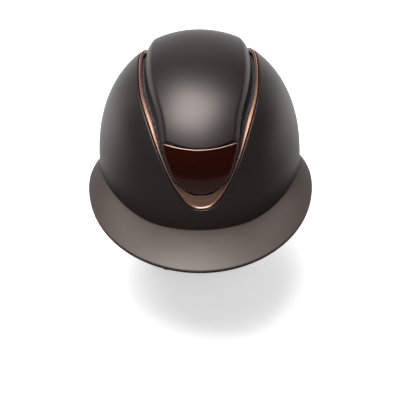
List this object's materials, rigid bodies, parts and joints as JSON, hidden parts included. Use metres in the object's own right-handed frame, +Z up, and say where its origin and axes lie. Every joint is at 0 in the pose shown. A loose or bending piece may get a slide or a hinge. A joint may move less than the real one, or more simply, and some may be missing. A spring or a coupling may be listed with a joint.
{
  "type": "riding helmet",
  "caption": "Equestrian riding helmet with wide peak, raised centre panel, vented channel, padded liner, chin harness and dial fit band.",
  "frame": {"origin": "centre of the head cavity, level with the helmet's widest line", "axes": "+Z up through the crown, -Y out through the peak, +X to the wearer's left"},
  "size_m": [0.231, 0.3092, 0.2723],
  "materials": {
    "matte_brown": "matte painted, fine texture",
    "copper": "satin copper paint",
    "dark_gloss": "high gloss",
    "black_plastic": "satin moulded",
    "black_metal": "perforated, black coated",
    "lining": "matte",
    "foam": "expanded beads",
    "pad_fabric": "knitted mesh",
    "webbing": "woven",
    "leatherette": "soft grain",
    "hook_tape": "hook tape",
    "steel": "zinc plated",
    "nylon": "moulded nylon"
  },
  "bodies": {
    "helmet": {"anchor_front_left": "nylon", "anchor_front_right": "nylon", "anchor_rear_left": "nylon", "anchor_rear_right": "nylon", "band_guide_left": "nylon", "band_guide_right": "nylon", "brow_hook_tape": "hook_tape", "brow_pad": "pad_fabric", "centre_panel": "matte_brown", "channel_mesh_left": "black_metal", "channel_mesh_right": "black_metal", "cradle_cover": "black_plastic", "cradle_hanger_left": "nylon", "cradle_hanger_right": "nylon", "cradle_housing": "black_plastic", "cradle_pad": "pad_fabric", "crown_hook_tape_left": "hook_tape", "crown_hook_tape_right": "hook_tape", "crown_pad_left": "pad_fabric", "crown_pad_right": "pad_fabric", "divider_left": "black_plastic", "divider_right": "black_plastic", "foam_liner": "foam", "front_plate": "dark_gloss", "intake_mesh": "black_metal", "nape_hook_tape": "hook_tape", "nape_pad": "pad_fabric", "outer_shell": "matte_brown", "panel_carrier": "black_plastic", "peak": "matte_brown", "peak_lining": "lining", "rear_vent_mesh": "black_metal", "shell_edging": "lining", "side_hook_tape_left": "hook_tape", "side_hook_tape_right": "hook_tape", "side_pad_left": "pad_fabric", "side_pad_right": "pad_fabric", "strap_front_left": "webbing", "strap_front_right": "webbing", "strap_rear_left": "webbing", "strap_rear_right": "webbing", "trim_frame": "copper"},
    "chin_loop": {"chin_strap_long": "webbing", "buckle_socket": "black_plastic", "chin_pad": "leatherette", "strap_slider": "black_plastic", "chin_strap_short": "webbing"},
    "buckle_half": {"buckle_prongs": "black_plastic"},
    "dial": {"fit_dial": "black_plastic", "dial_pinion": "nylon", "dial_screw": "steel"},
    "band_l": {"band_left": "nylon"},
    "band_r": {"band_right": "nylon"},
    "lever_l": {"divider_lever_left": "black_plastic"},
    "lever_r": {"divider_lever_right": "black_plastic"}
  },
  "joints": [
    {"name": "chin_loop_swing", "type": "hinge", "parent": "helmet", "child": "chin_loop", "pos_m": [0, 0.01, -0.076], "axis": [1, 0, 0], "range_deg": [-45, 25]},
    {"name": "buckle_release", "type": "slide", "parent": "chin_loop", "child": "buckle_half", "axis": [-1, 0, 0], "range_m": [0, 0.022], "deforming": ["chin_strap_short"]},
    {"name": "fit_dial_turn", "type": "hinge", "parent": "helmet", "child": "dial", "pos_m": [0, 0.0826, -0.05691], "axis": [0, 0.891, -0.454], "range_deg": [-85, 85]},
    {"name": "band_left_slide", "type": "hinge", "parent": "helmet", "child": "band_l", "pos_m": [0, 0.01801, -0.024], "axis": [0, 0.454, 0.891], "range_deg": [-5.93, 5.93]},
    {"name": "band_right_slide", "type": "hinge", "parent": "helmet", "child": "band_r", "pos_m": [0, 0.01801, -0.024], "axis": [0, 0.454, 0.891], "range_deg": [-5.93, 5.93]},
    {"name": "lever_left_flip", "type": "hinge", "parent": "helmet", "child": "lever_l", "pos_m": [0.0798, 0.01, -0.062], "axis": [0, -1, 0], "range_deg": [0, 75]},
    {"name": "lever_right_flip", "type": "hinge", "parent": "helmet", "child": "lever_r", "pos_m": [-0.0798, 0.01, -0.062], "axis": [0, 1, 0], "range_deg": [0, 75]}
  ],
  "couplings": [
    {"joint": "band_left_slide", "follows": "fit_dial_turn", "ratio": -0.068972},
    {"joint": "band_right_slide", "follows": "fit_dial_turn", "ratio": 0.068972}
  ]
}
